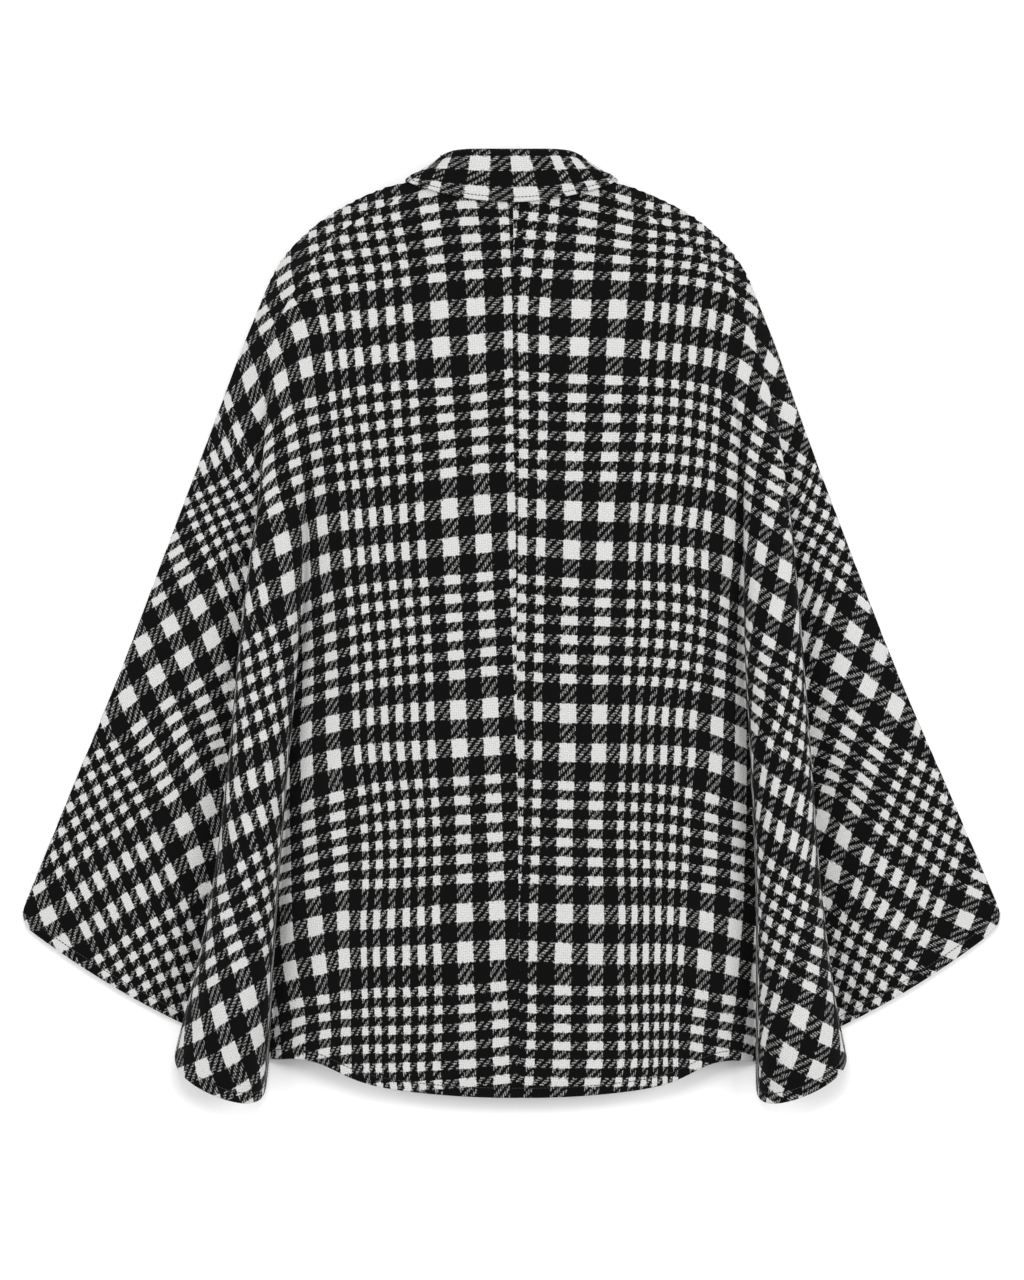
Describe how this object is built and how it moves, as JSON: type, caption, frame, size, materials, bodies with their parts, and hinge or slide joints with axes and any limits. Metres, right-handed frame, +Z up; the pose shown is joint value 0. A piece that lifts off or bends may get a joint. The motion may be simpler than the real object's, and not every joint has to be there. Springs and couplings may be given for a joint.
{
  "type": "cape laid flat",
  "caption": "Short wool cape with a turn-down collar, laid on its front, its back up: wide wings, two raised folds and a curved hem.",
  "frame": {"origin": "middle of the base of the whole cape's box, on the surface that it lies on", "axes": "+X across the back to the wearer's right and the longest way, +Y up to the collar, +Z up from the surface and the shortest way"},
  "size_m": [0.887, 0.8564, 0.046],
  "materials": {
    "back_cloth": "brushed wool in a black and white glen check",
    "front_cloth": "brushed wool in a black and white glen check",
    "collar_cloth": "brushed wool in a black and white glen check"
  },
  "bodies": {
    "root": {"back_left": "back_cloth", "back_right": "back_cloth", "front_left": "front_cloth", "front_right": "front_cloth", "collar_stand": "collar_cloth", "collar_fall": "collar_cloth"}
  },
  "joints": []
}
